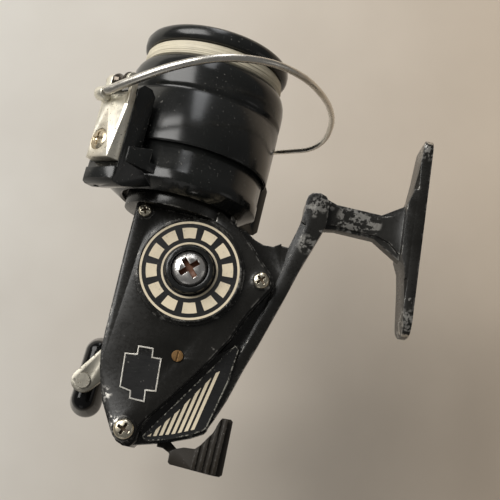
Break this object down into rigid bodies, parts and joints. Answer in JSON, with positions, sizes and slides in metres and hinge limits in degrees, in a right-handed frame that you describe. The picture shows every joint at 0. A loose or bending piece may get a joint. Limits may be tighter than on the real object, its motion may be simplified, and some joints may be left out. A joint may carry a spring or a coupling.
{
  "type": "spinning reel",
  "caption": "Open-face spinning fishing reel with a skirted spool, wire bail, rotor, side crank handle and a T-shaped foot for a rod seat.",
  "frame": {"origin": "centre of the foot's flat seat face", "axes": "+Z out of the seat face toward the rod, +X forward along the foot toward the spool, +Y to the dial side"},
  "size_m": [0.1499, 0.1049, 0.117],
  "materials": {
    "body_paint": "satin black paint, scuffed at the edges",
    "gloss_black": "gloss",
    "brown_black": "satin",
    "dial_black": "satin print",
    "cream_print": "matt print",
    "worn_silver": "worn",
    "satin_silver": "satin",
    "worn_chrome": "pitted",
    "screw_steel": "plated, tarnished",
    "brass_screw": "tarnished",
    "bronze": "machined",
    "zinc_gear": "die cast zinc alloy",
    "steel": "ground",
    "nylon": "moulded",
    "line": "wound monofilament",
    "felt_washer": "stacked metal and fibre discs"
  },
  "bodies": {
    "reel_body": {"housing": "body_paint", "side_plate": "body_paint", "cover_screws": "screw_steel", "oil_port_screw": "brass_screw", "dial_disc": "dial_black", "dial_marks": "cream_print", "striped_badge": "dial_black", "badge_stripes": "cream_print", "name_plate": "worn_silver", "crank_collar": "gloss_black", "crank_bush": "bronze", "bearing_outer": "steel", "bearing_balls": "steel", "bearing_retainer": "steel", "retainer_screws": "steel", "guide_rod": "steel", "osc_post": "steel", "pawl_pin": "steel", "pawl_spring": "steel"},
    "crank": {"drive_gear": "zinc_gear", "handle_arm": "satin_silver", "handle_screw": "screw_steel", "knob_spindle": "steel"},
    "knob": {"handle_knob": "gloss_black"},
    "rotor_group": {"pinion": "bronze", "bearing_inner": "steel", "ratchet": "steel", "rotor": "gloss_black", "rotor_nut": "bronze", "balance_weight": "zinc_gear", "bail_spring": "steel"},
    "trip": {"trip_rod": "steel"},
    "bail": {"bail_arm": "worn_chrome", "bail_wire": "steel", "bail_end_plate": "worn_chrome", "bail_screws": "screw_steel", "roller_screw": "screw_steel"},
    "roller": {"line_roller": "worn_chrome"},
    "shaft_group": {"main_shaft": "steel", "osc_slider": "zinc_gear", "slider_screws": "steel", "click_gear": "nylon", "shaft_clip": "steel", "drag_washers": "felt_washer", "drag_spring": "steel"},
    "spool_group": {"spool": "gloss_black", "line_pack": "line", "click_pawl": "bronze"},
    "drag": {"drag_knob": "gloss_black"},
    "crosswind_gear": {"osc_gear": "nylon"},
    "ar_lever": {"anti_reverse_lever": "brown_black", "anti_reverse_shaft": "steel"},
    "pawl": {"anti_reverse_pawl": "steel"}
  },
  "joints": [
    {"name": "crank_spin", "type": "hinge", "parent": "reel_body", "child": "crank", "pos_m": [-0.02644, 0, -0.07706], "axis": [0, 1, 0], "continuous": true},
    {"name": "knob_spin", "type": "hinge", "parent": "crank", "child": "knob", "pos_m": [-0.06541, -0.04, -0.11118], "axis": [0, 1, 0], "continuous": true},
    {"name": "rotor_spin", "type": "hinge", "parent": "reel_body", "child": "rotor_group", "pos_m": [0.00426, 0, -0.08468], "axis": [0.9969, 0, 0.0785], "continuous": true},
    {"name": "crosswind_gear_spin", "type": "hinge", "parent": "reel_body", "child": "crosswind_gear", "pos_m": [-0.04189, 0.004, -0.07828], "axis": [0, 1, 0], "continuous": true},
    {"name": "bail_swing", "type": "hinge", "parent": "rotor_group", "child": "bail", "pos_m": [0.00645, 0, -0.0845], "axis": [0.0535, 0.7314, -0.6799], "range_deg": [0, 100]},
    {"name": "trip_slide", "type": "slide", "parent": "rotor_group", "child": "trip", "axis": [0.9969, 0, 0.0785], "range_m": [-0.0018, 0]},
    {"name": "roller_spin", "type": "hinge", "parent": "bail", "child": "roller", "pos_m": [0.02954, 0.03115, -0.10771], "axis": [-0.0574, 0.682, 0.7291], "continuous": true},
    {"name": "spool_slide", "type": "slide", "parent": "reel_body", "child": "shaft_group", "axis": [0.9969, 0, 0.0785], "range_m": [-0.008, 0]},
    {"name": "spool_spin", "type": "hinge", "parent": "shaft_group", "child": "spool_group", "pos_m": [0.03915, 0, -0.08193], "axis": [0.9969, 0, 0.0785], "continuous": true},
    {"name": "drag_turn", "type": "hinge", "parent": "shaft_group", "child": "drag", "pos_m": [0.0541, 0, -0.08075], "axis": [0.9969, 0, 0.0785], "range_deg": [-360, 360]},
    {"name": "anti_reverse_switch", "type": "hinge", "parent": "reel_body", "child": "ar_lever", "pos_m": [-0.08666, 0, -0.07659], "axis": [0.9969, 0, 0.0785], "range_deg": [0, 20]},
    {"name": "pawl_swing", "type": "hinge", "parent": "reel_body", "child": "pawl", "pos_m": [-0.00368, -0.007, -0.07306], "axis": [0.9969, 0, 0.0785], "range_deg": [-12, 0]}
  ],
  "couplings": [
    {"joint": "rotor_spin", "follows": "crank_spin", "ratio": 4},
    {"joint": "crosswind_gear_spin", "follows": "crank_spin", "ratio": -0.5},
    {"joint": "trip_slide", "follows": "bail_swing", "m_per_rad": -0.00103},
    {"joint": "pawl_swing", "follows": "anti_reverse_switch", "ratio": -0.6}
  ]
}
